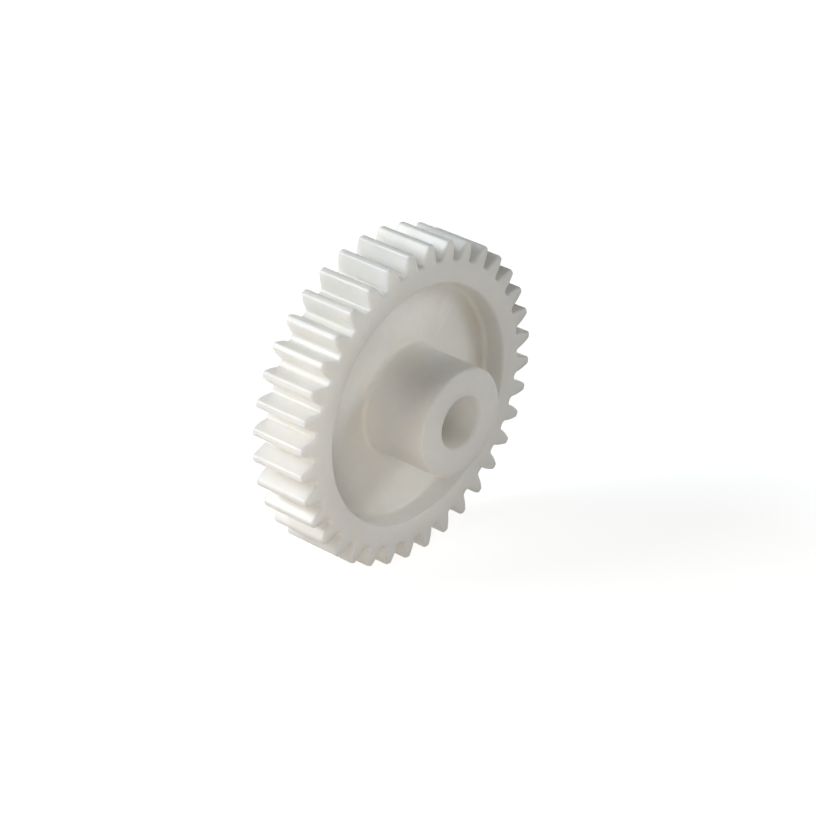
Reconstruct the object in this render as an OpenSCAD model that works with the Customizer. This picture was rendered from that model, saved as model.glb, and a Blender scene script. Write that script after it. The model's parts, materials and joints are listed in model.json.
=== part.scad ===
// Plastic spur gear with a hub on one side, moulded in one piece.
// Its teeth, rim, web and hub are regions of that one moulding. They meet face to
// face and never overlap. The gear stands on two teeth with its axis level: the
// origin is on the axis, halfway across the teeth, and the hub points towards -Y.
// All sizes are in millimetres.

/* [Teeth] */
// Module: pitch diameter divided by the number of teeth
gear_module = 2; // [1.75:0.25:3]
// Number of teeth
teeth_count = 36; // [32:1:60]
// Face width: length of the teeth along the axis
face_w = 15; // [12:0.5:24]

/* [Rim and web] */
// Thickness of the rim from the tooth roots to the edge of the recess
rim_wall = 5.25; // [3:0.25:5.5]
// Thickness of the web between rim and hub
web_t = 5; // [3:0.25:6]
// Slope of the rim's inner wall, in degrees
wall_draft = 4; // [1:0.5:6]
// Radius of the hollow corner between web and rim
rim_fillet = 1.25; // [1:0.25:2.5]
// Rounding of the recess edge on the rim's face
rim_edge = 0.6; // [0.3:0.1:0.8]

/* [Hub and bore] */
// Diameter of the hub
hub_d = 25.5; // [20:0.5:26]
// How far the hub stands out from the face of the teeth
hub_l = 12; // [4:0.5:20]
// Radius of the hollow corner between hub and web
hub_fillet = 1.25; // [1:0.25:3]
// Rounding of the hub's outer edges
hub_edge = 0.5; // [0.2:0.1:1]
// Diameter of the bore
bore_d = 12; // [6:0.5:14]
// Rounding of the bore's two mouths
bore_edge = 0.8; // [0.3:0.1:1.2]

/* [Hidden] */
$fn = 128;

// Standard full-depth tooth, in modules where it is not an angle
pressure_angle = 20;
addendum = 1;
dedendum = 1.25;
flank_depth = 0.925;
tip_relief = 0.2;
flank_steps = 8;
arc_steps = 4;

pitch_r = gear_module * teeth_count / 2;
base_r = pitch_r * cos(pressure_angle);
tip_r = pitch_r + addendum * gear_module;
root_r = pitch_r - dedendum * gear_module;
pitch_angle = 360 / teeth_count;
// The involute flank runs between these two radii, and arcs join it to root and tip
flank_in_r = max(base_r, pitch_r - flank_depth * gear_module);
flank_out_r = tip_r - tip_relief * gear_module;

recess_r = root_r - rim_wall;
recess_depth = (face_w - web_t) / 2;
// Foot of the sloping wall, and how far the hollow corner reaches from it
wall_foot_r = recess_r - recess_depth * tan(wall_draft);
corner_reach = rim_fillet / tan(45 + wall_draft / 2);
web_out_r = wall_foot_r - corner_reach;

hub_r = hub_d / 2;
bore_r = bore_d / 2;
web_in_r = hub_r + hub_fillet;
nose_z = face_w / 2 + hub_l;
back_z = -face_w / 2;
// Overshoot that keeps cuts clear of the faces they cut
over = 1;

function polar(r, a) = [r * cos(a), r * sin(a)];
function flip(p) = [p[0], -p[1]];
function backwards(list) = [for (i = [len(list) - 1 : -1 : 0]) list[i]];

// Slope of the flank at radius r: its pressure angle there, in degrees
function slope(r) = acos(base_r / r);
function involute(a) = tan(a) * 180 / PI - a;
// Half of the tooth's angle at radius r
function half_tooth(r) = 90 / teeth_count + involute(pressure_angle) - involute(slope(r));
// Distance from the flank's normal at radius r to the foot of that normal
function along_normal(r) = sqrt(r * r - base_r * base_r);

// Radii of the arcs that touch the flank's ends and the root or tip circle
root_arc_r = (pow(flank_in_r, 2) - pow(root_r, 2)) / (2 * (root_r - along_normal(flank_in_r)));
tip_arc_r = (pow(tip_r, 2) - pow(flank_out_r, 2)) / (2 * (tip_r - along_normal(flank_out_r)));

// Direction of the flank's outward normal at radius r
function normal_angle(r) = half_tooth(r) + 90 - slope(r);
root_arc_centre = polar(flank_in_r, half_tooth(flank_in_r))
    + polar(root_arc_r, normal_angle(flank_in_r));
tip_arc_centre = polar(flank_out_r, half_tooth(flank_out_r))
    - polar(tip_arc_r, normal_angle(flank_out_r));

// Points of an arc about a centre, from one direction to another
function arc(centre, r, from, to) =
    [for (i = [0 : arc_steps]) centre + polar(r, from + (to - from) * i / arc_steps)];

// One side of a tooth centred on +X, from the inner end of the flank to the tip
half_tooth_points = concat(
    [for (i = [0 : flank_steps - 1])
        let (r = flank_in_r + (flank_out_r - flank_in_r) * i / flank_steps)
        polar(r, half_tooth(r))],
    arc(tip_arc_centre, tip_arc_r, normal_angle(flank_out_r),
        atan2(tip_arc_centre[1], tip_arc_centre[0]))
);

// One side of the foot below that flank, from the root circle up to the flank
half_foot_points = arc(root_arc_centre, root_arc_r,
    atan2(root_arc_centre[1], root_arc_centre[0]) + 180,
    normal_angle(flank_in_r) + 180);

// Turns a point list about the axis
function turned(points, a) =
    [for (p = points) [p[0] * cos(a) - p[1] * sin(a), p[0] * sin(a) + p[1] * cos(a)]];

// Outline of the rim: a low foot under every tooth and the root land between feet
foot_points = concat([for (p = half_foot_points) flip(p)], backwards(half_foot_points));
rim_outline = [for (k = [0 : teeth_count - 1]) each turned(foot_points, k * pitch_angle)];

// Outline of one tooth, from foot to tip and back
tooth_outline = concat([for (p = half_tooth_points) flip(p)], backwards(half_tooth_points));

// Turns the axis from +Z to -Y, with the space between two teeth at the bottom
module on_axis() {
    rotate([90, 0, 0])
        rotate([0, 0, pitch_angle / 2 - 90])
            children();
}

// Repeats a half profile on both sides of the web
module both_sides() {
    children();
    mirror([0, 1]) children();
}

// What is left of a square corner at the origin outside a rounding of radius r.
// The corner's material is below and to the left.
module edge_cut(r) {
    difference() {
        translate([-r, -r]) square(r + over);
        translate([-r, -r]) circle(r);
    }
}

// Filling of the hollow corner between hub and web
module hub_corner() {
    translate([hub_r, web_t / 2])
        difference() {
            translate([-over, -over]) square(hub_fillet + over);
            translate([hub_fillet, hub_fillet]) circle(hub_fillet);
        }
}

// Filling of the hollow corner between web and sloping rim wall
module rim_corner() {
    translate([wall_foot_r, web_t / 2])
        difference() {
            polygon([
                [-corner_reach, 0],
                [0, 0],
                [corner_reach * sin(wall_draft), corner_reach * cos(wall_draft)]
            ]);
            translate([-corner_reach, rim_fillet]) circle(rim_fillet);
        }
}

// Space inside the rim on one side of the web
module recess_space() {
    difference() {
        polygon([
            [0, web_t / 2],
            [wall_foot_r, web_t / 2],
            [recess_r, face_w / 2],
            [recess_r + over * tan(wall_draft), face_w / 2 + over],
            [0, face_w / 2 + over]
        ]);
        rim_corner();
    }
    translate([recess_r, face_w / 2]) mirror([1, 0]) edge_cut(rim_edge);
}

module teeth() {
    color("whitesmoke")
        on_axis()
            for (k = [0 : teeth_count - 1])
                rotate([0, 0, k * pitch_angle])
                    translate([0, 0, -face_w / 2])
                        linear_extrude(height = face_w) polygon(tooth_outline);
}

module rim() {
    color("whitesmoke")
        on_axis()
            difference() {
                translate([0, 0, -face_w / 2])
                    linear_extrude(height = face_w) polygon(rim_outline);
                rotate_extrude() {
                    translate([0, -web_t / 2 - over]) square([web_out_r, web_t + 2 * over]);
                    both_sides() recess_space();
                }
            }
}

module web() {
    color("whitesmoke")
        on_axis()
            difference() {
                cylinder(h = web_t, r = web_out_r, center = true);
                cylinder(h = web_t + 2 * over, r = web_in_r, center = true);
            }
}

module hub() {
    color("whitesmoke")
        on_axis()
            rotate_extrude()
                difference() {
                    union() {
                        translate([bore_r, back_z]) square([hub_r - bore_r, nose_z - back_z]);
                        translate([hub_r - over, -web_t / 2]) square([hub_fillet + over, web_t]);
                        both_sides() hub_corner();
                    }
                    for (end = [[nose_z, 0], [back_z, 1]])
                        translate([0, end[0]]) mirror([0, end[1]]) {
                            translate([hub_r, 0]) edge_cut(hub_edge);
                            translate([bore_r, 0]) mirror([1, 0]) edge_cut(bore_edge);
                        }
                }
}

teeth();
rim();
web();
hub();
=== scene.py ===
"""Looks of a spur gear moulded in one piece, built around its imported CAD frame.

Lengths are in metres. The gear's axis is the frame's Y axis and its hub points to -Y, so
"along" below means the distance from the origin towards the hub's nose, which is -Y.
"""

import json
import math

import bpy
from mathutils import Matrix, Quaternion, Vector


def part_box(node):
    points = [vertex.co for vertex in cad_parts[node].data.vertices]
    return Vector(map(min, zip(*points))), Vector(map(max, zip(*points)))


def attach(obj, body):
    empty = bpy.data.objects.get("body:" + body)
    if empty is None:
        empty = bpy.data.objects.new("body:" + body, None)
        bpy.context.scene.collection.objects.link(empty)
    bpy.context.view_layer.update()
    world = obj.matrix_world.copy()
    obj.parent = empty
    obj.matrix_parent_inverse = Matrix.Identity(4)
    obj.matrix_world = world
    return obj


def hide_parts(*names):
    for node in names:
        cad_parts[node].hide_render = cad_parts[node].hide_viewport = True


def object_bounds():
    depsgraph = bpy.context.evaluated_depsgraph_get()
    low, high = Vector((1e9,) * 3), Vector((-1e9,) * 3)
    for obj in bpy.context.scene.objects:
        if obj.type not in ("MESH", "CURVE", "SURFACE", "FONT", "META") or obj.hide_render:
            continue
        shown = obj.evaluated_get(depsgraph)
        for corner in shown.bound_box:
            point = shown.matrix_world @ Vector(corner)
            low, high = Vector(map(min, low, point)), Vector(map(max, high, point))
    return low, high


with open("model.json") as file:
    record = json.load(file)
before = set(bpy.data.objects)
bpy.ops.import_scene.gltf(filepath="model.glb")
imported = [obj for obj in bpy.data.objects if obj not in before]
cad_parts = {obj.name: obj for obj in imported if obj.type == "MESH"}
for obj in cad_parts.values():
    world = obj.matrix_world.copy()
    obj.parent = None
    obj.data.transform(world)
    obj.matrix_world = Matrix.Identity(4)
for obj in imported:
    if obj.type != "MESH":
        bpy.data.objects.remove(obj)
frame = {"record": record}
cad_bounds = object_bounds()

MM = 0.001

# Standard full-depth tooth, in modules where it is not an angle
TEETH = 36
PRESSURE_ANGLE = math.radians(20)
ADDENDUM = 1.0
DEDENDUM = 1.25
FLANK_DEPTH = 0.925
TIP_RELIEF = 0.2
# Rounding of the moulding's edges and hollow corners
TOOTH_END_ROUND = 0.65 * MM
RECESS_EDGE_ROUND = 0.6 * MM
RIM_FILLET = 1.25 * MM
HUB_FILLET = 1.25 * MM
HUB_EDGE_ROUND = 0.5 * MM
WALL_DRAFT = math.radians(4)
# Thickness of the rim from the tooth roots to the edge of the recess
RIM_WALL = 5.25 * MM

# Steps along half a tooth's outline
ROOT_ARC_STEPS = 4
FLANK_STEPS = 6
TIP_ARC_STEPS = 4
# Points of the outline for each point of a ring inside the rim
COARSE_SHARE = 4
# Steps round a rounded edge or hollow corner, and along the straights between them
EDGE_STEPS = 5
RIM_CORNER_STEPS = 8
HUB_CORNER_STEPS = 10
WALL_STEPS = 3
WEB_STEPS = 5
HUB_SIDE_STEPS = 8
HUB_FACE_STEPS = 3
HUB_BACK_STEPS = 2
BORE_STEPS = 14

# Colours of the acetal, with the sizes of its clouding, smears and grain
ACETAL_WARM = (0.90, 0.885, 0.855, 1)
ACETAL_COOL = (0.90, 0.895, 0.88, 1)
ACETAL_PALE = (0.93, 0.92, 0.90, 1)
ACETAL_STREAK = (0.96, 0.955, 0.94, 1)
CLOUD_SIZE = 9 * MM
MOTTLE_SIZE = 1.6 * MM
SMEAR_SIZE = 3 * MM
GRAIN_SIZE = 0.35 * MM
# How far light spreads in the plastic, and the share of it for red, green and blue
LIGHT_DEPTH = 6.0 * MM
LIGHT_SPREAD = (1.0, 0.92, 0.8)
ACETAL_IOR = 1.48
# Lowest and highest roughness of the satin surface
SATIN_LOW = 0.31
SATIN_HIGH = 0.38
# Flow lines: their middle round the axis from straight up, where they start to fade and end
# to either side of it, and how often they repeat round the axis and along the radius
FLOW_ANGLE = math.radians(30)
FLOW_CORE = 0.15
FLOW_HALF_WIDTH = 0.45
FLOW_STRETCH = (14, 60, 1)
# Fine rings and grain left by the mould
RING_PITCH = 0.6 * MM
RING_SHARE = 0.15
RELIEF_STRENGTH = 0.25
RELIEF_DEPTH = 0.03 * MM
# Sky round the studio, and the heights between which one tone turns into the next, each the
# sine of an elevation
SKY_BELOW = (0.135, 0.112, 0.084, 1)
SKY_HORIZON = (0.62, 0.62, 0.62, 1)
SKY_ABOVE = (0.01, 0.01, 0.01, 1)
HORIZON_LOW = (-0.06, -0.01)
HORIZON_HIGH = (0.08, 0.14)
# Floor: half of its side in metres, its colour and its faint glow
FLOOR_HALF = 20.0
FLOOR_PALE = (0.55, 0.55, 0.55, 1)
FLOOR_GLOW = 0.8

CAMERA_AZIMUTH = math.radians(-48.69)
CAMERA_ELEVATION = math.radians(28.67)
CAMERA_ROLL = math.radians(0.72)
CAMERA_DISTANCE = 0.698
CAMERA_LENS = 138.8
AIM_RIGHT = 2.95 * MM
AIM_DOWN = 2.88 * MM
SENSOR_WIDTH = 36
NEAREST_VIEW = 10 * MM


def mount(name):
    return next(m for m in frame["record"]["mounts"] if m["name"] == name)


def extent(node, axis):
    low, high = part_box(node)
    return high[axis] - low[axis]


FACE_WIDTH = extent("teeth", 1)
WEB_THICKNESS = extent("web", 1)
HUB_RADIUS = extent("hub", 0) / 2 - HUB_FILLET
NOSE_ALONG = -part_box("hub")[0].y
BACK_ALONG = -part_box("hub")[1].y
BORE_RADIUS = mount("bore")["dims"]["r_mm"] * MM
BORE_EDGE_ROUND = (extent("hub", 1) - mount("bore")["dims"]["length_mm"] * MM) / 2
PITCH_RADIUS = mount("tooth_mesh")["pos_m"][2]
MODULE = 2 * PITCH_RADIUS / TEETH
BASE_RADIUS = PITCH_RADIUS * math.cos(PRESSURE_ANGLE)
TIP_RADIUS = PITCH_RADIUS + ADDENDUM * MODULE
ROOT_RADIUS = PITCH_RADIUS - DEDENDUM * MODULE
RECESS_RADIUS = ROOT_RADIUS - RIM_WALL


# ---------------------------------------------------------------- outline of the teeth


def slope(radius):
    """Pressure angle of the flank at a radius."""
    return math.acos(min(1.0, BASE_RADIUS / radius))


def involute(angle):
    return math.tan(angle) - angle


def half_tooth(radius):
    """Half of the tooth's angle at a radius."""
    return math.pi / (2 * TEETH) + involute(PRESSURE_ANGLE) - involute(slope(radius))


def polar(radius, angle):
    return Vector((radius * math.cos(angle), radius * math.sin(angle)))


def arc(centre, radius, start, end, steps, side=1):
    """(point, normal angle) pairs. Side -1 is a hollow arc, whose normals point at its centre."""
    angles = [start + (end - start) * i / steps for i in range(steps + 1)]
    return [(centre + side * polar(radius, a), a) for a in angles]


def half_tooth_outline():
    """(point, normal angle) pairs from the middle of a tooth space to the tooth's tip arc."""
    foot = PITCH_RADIUS - FLANK_DEPTH * MODULE
    top = TIP_RADIUS - TIP_RELIEF * MODULE
    foot_normal = half_tooth(foot) + math.pi / 2 - slope(foot)
    top_normal = half_tooth(top) + math.pi / 2 - slope(top)
    foot_lever = math.sqrt(foot**2 - BASE_RADIUS**2)
    top_lever = math.sqrt(top**2 - BASE_RADIUS**2)
    foot_arc = (foot**2 - ROOT_RADIUS**2) / (2 * (ROOT_RADIUS - foot_lever))
    top_arc = (TIP_RADIUS**2 - top**2) / (2 * (TIP_RADIUS - top_lever))
    foot_centre = polar(foot, half_tooth(foot)) + polar(foot_arc, foot_normal)
    top_centre = polar(top, half_tooth(top)) - polar(top_arc, top_normal)
    foot_turn = math.atan2(foot_centre.y, foot_centre.x)
    top_turn = math.atan2(top_centre.y, top_centre.x)

    points = [(polar(ROOT_RADIUS, math.pi / TEETH), math.pi / TEETH)]
    points += arc(foot_centre, foot_arc, foot_turn, foot_normal, ROOT_ARC_STEPS, side=-1)
    for i in range(1, FLANK_STEPS):
        radius = foot + (top - foot) * i / FLANK_STEPS
        angle = half_tooth(radius)
        points.append((polar(radius, angle), angle + math.pi / 2 - slope(radius)))
    points += arc(top_centre, top_arc, top_normal, top_turn, TIP_ARC_STEPS)
    return points


def gear_outline():
    """(point, normal angle) pairs round the whole gear. A tooth space is centred straight down."""
    half = half_tooth_outline()
    tip = [(polar(TIP_RADIUS, 0), 0.0)]
    rising = [(Vector((p.x, -p.y)), -normal) for p, normal in half]
    # from one tooth space to the next, turning anticlockwise
    tooth = rising + tip + half[:0:-1]
    outline = []
    for k in range(TEETH):
        turn = 2 * math.pi * (k + 0.5) / TEETH - math.pi / 2
        c, s = math.cos(turn), math.sin(turn)
        for p, normal in tooth:
            outline.append((Vector((p.x * c - p.y * s, p.x * s + p.y * c)), normal + turn))
    return outline


# ---------------------------------------------------------------- section of the moulding


def straight(start, end, normal, steps):
    """(point, normal angle) pairs between two points, without either of them."""
    return [(start.lerp(end, i / steps), normal) for i in range(1, steps)]


def recess_half():
    """Section from the rim's front face down its sloping wall and over the web to the hub.

    Points are (radius, along). Normal angles are measured from outwards to along.
    """
    up, out = math.pi / 2, 0.0
    floor, face = WEB_THICKNESS / 2, FACE_WIDTH / 2
    wall_normal = math.pi - WALL_DRAFT
    foot = RECESS_RADIUS - (face - floor) * math.tan(WALL_DRAFT)
    # The rounding of the recess edge touches the face and the sloping wall
    edge_reach = RECESS_EDGE_ROUND * math.tan((wall_normal - up) / 2)
    edge_centre = Vector((RECESS_RADIUS + edge_reach, face - RECESS_EDGE_ROUND))
    corner_reach = RIM_FILLET / math.tan((up + WALL_DRAFT) / 2)
    corner_centre = Vector((foot - corner_reach, floor + RIM_FILLET))
    hub_centre = Vector((HUB_RADIUS + HUB_FILLET, floor + HUB_FILLET))

    edge = arc(edge_centre, RECESS_EDGE_ROUND, up, wall_normal, EDGE_STEPS)
    corner = arc(corner_centre, RIM_FILLET, wall_normal, up, RIM_CORNER_STEPS, side=-1)
    hub_corner = arc(hub_centre, HUB_FILLET, up, out, HUB_CORNER_STEPS, side=-1)
    wall = straight(edge[-1][0], corner[0][0], wall_normal, WALL_STEPS)
    web = straight(corner[-1][0], hub_corner[0][0], up, WEB_STEPS)
    return edge + wall + corner + web + hub_corner


def mirrored(section):
    """The same section on the back, in the opposite order."""
    return [(Vector((p.x, -p.y)), -normal) for p, normal in reversed(section)]


def inner_section():
    """Section from the front edge of the recess, round the hub and the bore, to the back edge."""
    up, out, inward, down = math.pi / 2, 0.0, math.pi, 1.5 * math.pi
    front = recess_half()
    back = mirrored(front)
    nose = arc(Vector((HUB_RADIUS - HUB_EDGE_ROUND, NOSE_ALONG - HUB_EDGE_ROUND)),
               HUB_EDGE_ROUND, out, up, EDGE_STEPS)
    mouth = arc(Vector((BORE_RADIUS + BORE_EDGE_ROUND, NOSE_ALONG - BORE_EDGE_ROUND)),
                BORE_EDGE_ROUND, up, inward, EDGE_STEPS)
    back_mouth = arc(Vector((BORE_RADIUS + BORE_EDGE_ROUND, BACK_ALONG + BORE_EDGE_ROUND)),
                     BORE_EDGE_ROUND, inward, down, EDGE_STEPS)
    back_nose = arc(Vector((HUB_RADIUS - HUB_EDGE_ROUND, BACK_ALONG + HUB_EDGE_ROUND)),
                    HUB_EDGE_ROUND, -up, out, EDGE_STEPS)
    parts = [
        front,
        straight(front[-1][0], nose[0][0], out, HUB_SIDE_STEPS),
        nose,
        straight(nose[-1][0], mouth[0][0], up, HUB_FACE_STEPS),
        mouth,
        straight(mouth[-1][0], back_mouth[0][0], inward, BORE_STEPS),
        back_mouth,
        straight(back_mouth[-1][0], back_nose[0][0], down, HUB_FACE_STEPS),
        back_nose,
        straight(back_nose[-1][0], back[0][0], out, HUB_BACK_STEPS),
        back,
    ]
    return [station for part in parts for station in part]


# ---------------------------------------------------------------- mesh


def place(point, along):
    return (point.x, -along, point.y)


def facing(angle, tilt):
    """Unit vector that points outwards at an angle round the axis, tilted along the axis."""
    flat = math.cos(tilt)
    return (flat * math.cos(angle), -math.sin(tilt), flat * math.sin(angle))


class Rings:
    """Rings of points round the axis, joined by strips of faces whose normals point outwards."""

    def __init__(self):
        self.points, self.normals, self.faces = [], [], []

    def add(self, ring):
        """Adds a ring of (place, normal) pairs and returns the indices of its points."""
        first = len(self.points)
        self.points += [p for p, _ in ring]
        self.normals += [n for _, n in ring]
        return list(range(first, len(self.points)))

    def join(self, a, b):
        """Faces between two rings, one of which may have a multiple of the other's points."""
        count = min(len(a), len(b))
        step_a, step_b = len(a) // count, len(b) // count
        for k in range(count):
            side_a = [a[(k * step_a + i) % len(a)] for i in range(step_a + 1)]
            side_b = [b[(k * step_b + i) % len(b)] for i in range(step_b + 1)]
            self.faces.append(side_a + side_b[::-1])

    def mesh(self, name):
        mesh = bpy.data.meshes.new(name)
        mesh.from_pydata(self.points, [], self.faces)
        mesh.polygons.foreach_set("use_smooth", [True] * len(mesh.polygons))
        mesh.normals_split_custom_set_from_vertices(self.normals)
        mesh.validate()
        return mesh


def outline_ring(outline, tilt, side):
    """The outline at one step of the rounding of its ends. Side 1 is the front, -1 the back."""
    inset = TOOTH_END_ROUND * (1 - math.cos(tilt))
    along = side * (FACE_WIDTH / 2 - TOOTH_END_ROUND * (1 - math.sin(tilt)))
    return [
        (place(point - polar(inset, normal), along), facing(normal, side * tilt))
        for point, normal in outline
    ]


def circle_ring(angles, radius, along, normal):
    """A circle of points. The normal angle is measured from outwards to along."""
    flat, up = math.cos(normal), math.sin(normal)
    return [
        (place(polar(radius, a), along), (flat * math.cos(a), -up, flat * math.sin(a)))
        for a in angles
    ]


def make_gear():
    """The whole moulding as one closed surface, ring by ring from the front face to the teeth."""
    outline = gear_outline()
    rings = Rings()
    # Rings just inside the teeth keep the outline's points, and the others have fewer
    inner = [point - polar(TOOTH_END_ROUND, normal) for point, normal in outline]
    fine = [math.atan2(point.y, point.x) for point in inner]
    count = len(outline) // COARSE_SHARE
    coarse = [2 * math.pi * k / count - math.pi / 2 for k in range(count)]
    face = FACE_WIDTH / 2
    up = math.pi / 2
    foot_radius = ROOT_RADIUS - 2 * TOOTH_END_ROUND
    rim_middle = (ROOT_RADIUS + RECESS_RADIUS) / 2

    loops = [
        rings.add(circle_ring(fine, foot_radius, face, up)),
        rings.add(circle_ring(coarse, rim_middle, face, up)),
    ]
    for point, normal in inner_section():
        loops.append(rings.add(circle_ring(coarse, point.x, point.y, normal)))
    loops.append(rings.add(circle_ring(coarse, rim_middle, -face, -up)))
    loops.append(rings.add(circle_ring(fine, foot_radius, -face, -up)))
    tilts = [up * i / EDGE_STEPS for i in range(EDGE_STEPS + 1)]
    for tilt in reversed(tilts):
        loops.append(rings.add(outline_ring(outline, tilt, -1)))
    for tilt in tilts:
        loops.append(rings.add(outline_ring(outline, tilt, 1)))
    for a, b in zip(loops, loops[1:] + loops[:1]):
        rings.join(a, b)

    gear = bpy.data.objects.new("gear_moulding", rings.mesh("gear_moulding"))
    bpy.context.scene.collection.objects.link(gear)
    gear.data.materials.append(acetal())
    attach(gear, "root")
    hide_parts("teeth", "rim", "web", "hub")
    return gear


# ---------------------------------------------------------------- materials


def add(tree, kind, sockets, **settings):
    """Adds a node. Each entry of sockets is a value, or another node's output to link."""
    made = tree.nodes.new("ShaderNode" + kind)
    for name, value in settings.items():
        setattr(made, name, value)
    for key, value in sockets.items():
        if isinstance(value, bpy.types.NodeSocket):
            tree.links.new(value, made.inputs[key])
        else:
            made.inputs[key].default_value = value
    return made.outputs


def noise(tree, vector, size, detail=2.0):
    """Noise from 0 to 1 with features about as large as the size."""
    return add(tree, "TexNoise", {"Vector": vector, "Scale": 1 / size, "Detail": detail})["Fac"]


def remap(tree, value, low, high, to_low=0.0, to_high=1.0):
    sockets = {"Value": value, 1: low, 2: high, 3: to_low, 4: to_high}
    return add(tree, "MapRange", sockets, interpolation_type="SMOOTHSTEP")["Result"]


def product(tree, a, b):
    return add(tree, "Math", {0: a, 1: b}, operation="MULTIPLY")["Value"]


def blend(tree, factor, a, b):
    """Colour between a and b. The node's colours are its sockets 6 and 7 and its output 2."""
    return add(tree, "Mix", {0: factor, 6: a, 7: b}, data_type="RGBA")[2]


def flow_lines(tree, radius, angle):
    """Faint radial lines on the web, where the melt streamed past the hub."""
    swept = add(tree, "CombineXYZ", {"X": angle, "Y": radius})["Vector"]
    stretched = add(tree, "VectorMath", {0: swept, 1: FLOW_STRETCH}, operation="MULTIPLY")["Vector"]
    lines = remap(tree, noise(tree, stretched, 1.0, 1.0), 0.5, 0.72)
    side = add(tree, "Math", {0: angle, 1: FLOW_ANGLE}, operation="SUBTRACT")["Value"]
    away = add(tree, "Math", {0: side}, operation="ABSOLUTE")["Value"]
    near = remap(tree, away, FLOW_CORE, FLOW_HALF_WIDTH, 1.0, 0.0)
    inner = remap(tree, radius, HUB_RADIUS, HUB_RADIUS + 2 * MM)
    outer = remap(tree, radius, RECESS_RADIUS - 5 * MM, RECESS_RADIUS - 1 * MM, 1.0, 0.0)
    return product(tree, product(tree, lines, near), product(tree, inner, outer))


def acetal():
    """White acetal: milky, translucent and satin, with faint clouding and flow lines."""
    material = bpy.data.materials.new("acetal_white")
    material.use_nodes = True
    tree = material.node_tree
    shader = tree.nodes["Principled BSDF"]
    coordinates = add(tree, "TexCoord", {})
    spot, normal = coordinates["Object"], coordinates["Normal"]
    parts = add(tree, "SeparateXYZ", {0: spot})
    flat = add(tree, "CombineXYZ", {"X": parts["X"], "Z": parts["Z"]})["Vector"]
    radius = add(tree, "VectorMath", {0: flat}, operation="LENGTH")["Value"]
    angle = add(tree, "Math", {0: parts["X"], 1: parts["Z"]}, operation="ARCTAN2")["Value"]

    clouds = remap(tree, noise(tree, spot, CLOUD_SIZE, 3.0), 0.3, 0.7)
    mottle = remap(tree, noise(tree, spot, MOTTLE_SIZE), 0.35, 0.75)
    white = blend(tree, clouds, ACETAL_WARM, ACETAL_COOL)
    white = blend(tree, product(tree, mottle, clouds), white, ACETAL_PALE)
    streaks = flow_lines(tree, radius, angle)
    tree.links.new(blend(tree, streaks, white, ACETAL_STREAK), shader.inputs["Base Color"])

    smears = noise(tree, spot, SMEAR_SIZE, 3.0)
    satin = remap(tree, smears, 0.3, 0.7, SATIN_LOW, SATIN_HIGH)
    tree.links.new(satin, shader.inputs["Roughness"])

    # Faces square to the axis keep the fine rings of the turned mould inserts
    tilt = add(tree, "SeparateXYZ", {0: normal})["Y"]
    square = add(tree, "Math", {0: tilt}, operation="ABSOLUTE")["Value"]
    on_face = remap(tree, square, 0.9, 1.0)
    rings = add(tree, "Math", {0: product(tree, radius, 2 * math.pi / RING_PITCH)},
                operation="SINE")["Value"]
    grain = noise(tree, spot, GRAIN_SIZE, 3.0)
    relief = add(tree, "Math", {0: product(tree, rings, on_face), 1: RING_SHARE, 2: grain},
                 operation="MULTIPLY_ADD")["Value"]
    sockets = {"Height": relief, "Strength": RELIEF_STRENGTH, "Distance": RELIEF_DEPTH}
    tree.links.new(add(tree, "Bump", sockets)["Normal"], shader.inputs["Normal"])

    shader.inputs["Subsurface Weight"].default_value = 1.0
    shader.inputs["Subsurface Radius"].default_value = LIGHT_SPREAD
    shader.inputs["Subsurface Scale"].default_value = LIGHT_DEPTH
    shader.inputs["IOR"].default_value = ACETAL_IOR
    return material


def plain_floor():
    """Pale sweep. Its faint glow keeps the object's shadow light."""
    material = bpy.data.materials.new("plain_floor")
    material.use_nodes = True
    shader = material.node_tree.nodes["Principled BSDF"]
    shader.inputs["Base Color"].default_value = FLOOR_PALE
    shader.inputs["Roughness"].default_value = 0.8
    shader.inputs["Specular IOR Level"].default_value = 0.1
    shader.inputs["Emission Color"].default_value = (1, 1, 1, 1)
    shader.inputs["Emission Strength"].default_value = FLOOR_GLOW
    material.cycles.emission_sampling = "NONE"
    return material


# ---------------------------------------------------------------- stage


def direction(azimuth, elevation):
    """Unit vector from the object towards a viewer or a light. Azimuth 0 is on the hub's side."""
    flat = math.cos(elevation)
    return Vector((math.sin(azimuth) * flat, -math.cos(azimuth) * flat, math.sin(elevation)))


def make_camera():
    back = direction(CAMERA_AZIMUTH, CAMERA_ELEVATION)
    turn = back.to_track_quat("Z", "Y") @ Quaternion((0, 0, 1), CAMERA_ROLL)
    aim = turn @ Vector((AIM_RIGHT, -AIM_DOWN, 0))
    camera = bpy.data.objects.new("camera", bpy.data.cameras.new("camera"))
    camera.data.lens = CAMERA_LENS
    camera.data.sensor_width = SENSOR_WIDTH
    camera.data.clip_start = NEAREST_VIEW
    camera.location = aim + back * CAMERA_DISTANCE
    camera.rotation_mode = "QUATERNION"
    camera.rotation_quaternion = turn
    bpy.context.scene.collection.objects.link(camera)
    bpy.context.scene.camera = camera


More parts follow.
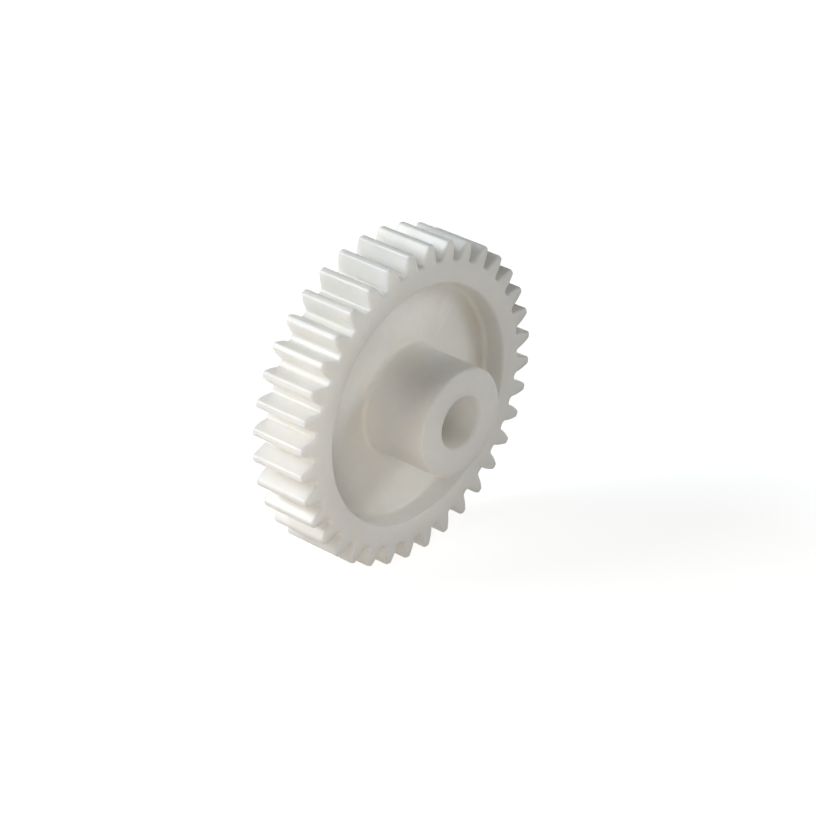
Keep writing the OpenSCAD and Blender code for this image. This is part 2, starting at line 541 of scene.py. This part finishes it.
def make_light(name, azimuth, elevation, distance, size, power, colour):
    """Round softbox that faces the object. Angles are in degrees and power in watts."""
    light = bpy.data.lights.new(name, "AREA")
    light.shape = "DISK"
    light.size = size
    light.energy = power
    light.color = colour
    toward = direction(math.radians(azimuth), math.radians(elevation))
    holder = bpy.data.objects.new(name, light)
    holder.location = toward * distance
    holder.rotation_mode = "QUATERNION"
    holder.rotation_quaternion = toward.to_track_quat("Z", "Y")
    bpy.context.scene.collection.objects.link(holder)


def make_floor():
    """Floor under the lowest tooth. The object sees the sky's lower half in its place."""
    z = cad_bounds[0].z
    mesh = bpy.data.meshes.new("floor")
    corners = [(x * FLOOR_HALF, y * FLOOR_HALF, z) for x, y in ((-1, -1), (1, -1), (1, 1), (-1, 1))]
    mesh.from_pydata(corners, [], [(0, 1, 2, 3)])
    mesh.materials.append(plain_floor())
    floor = bpy.data.objects.new("floor", mesh)
    floor.visible_diffuse = False
    floor.visible_shadow = False
    bpy.context.scene.collection.objects.link(floor)


def make_sky():
    """Soft warm light from below, a pale band at the horizon and almost nothing above it."""
    world = bpy.data.worlds.new("studio")
    world.use_nodes = True
    tree = world.node_tree
    background = tree.nodes["Background"]
    height = add(tree, "SeparateXYZ", {0: add(tree, "TexCoord", {})["Generated"]})["Z"]
    below = remap(tree, height, *HORIZON_LOW)
    above = remap(tree, height, *HORIZON_HIGH)
    tone = blend(tree, below, SKY_BELOW, SKY_HORIZON)
    tree.links.new(blend(tree, above, tone, SKY_ABOVE), background.inputs["Color"])
    bpy.context.scene.world = world


bpy.context.scene.view_settings.view_transform = "Standard"
make_camera()
make_gear()
make_floor()
make_sky()
make_light("key_cool", 215, 31, 1.0, 0.5, 3.5, (0.83, 1.0, 1.17))
make_light("key_warm", 231, 31, 1.0, 0.5, 5.0, (1.06, 1.0, 0.88))
make_light("fill", 42, 26, 1.0, 0.5, 3.0, (0.98, 1.0, 0.96))
make_light("front", 308, 30, 1.0, 0.5, 0.8, (0.98, 1.0, 0.97))
make_light("near", 308, -8, 0.15, 0.08, 0.034, (1.06, 1.0, 0.95))
make_light("bounce", 250, -25, 1.0, 0.5, 1.2, (1.22, 1.0, 0.74))
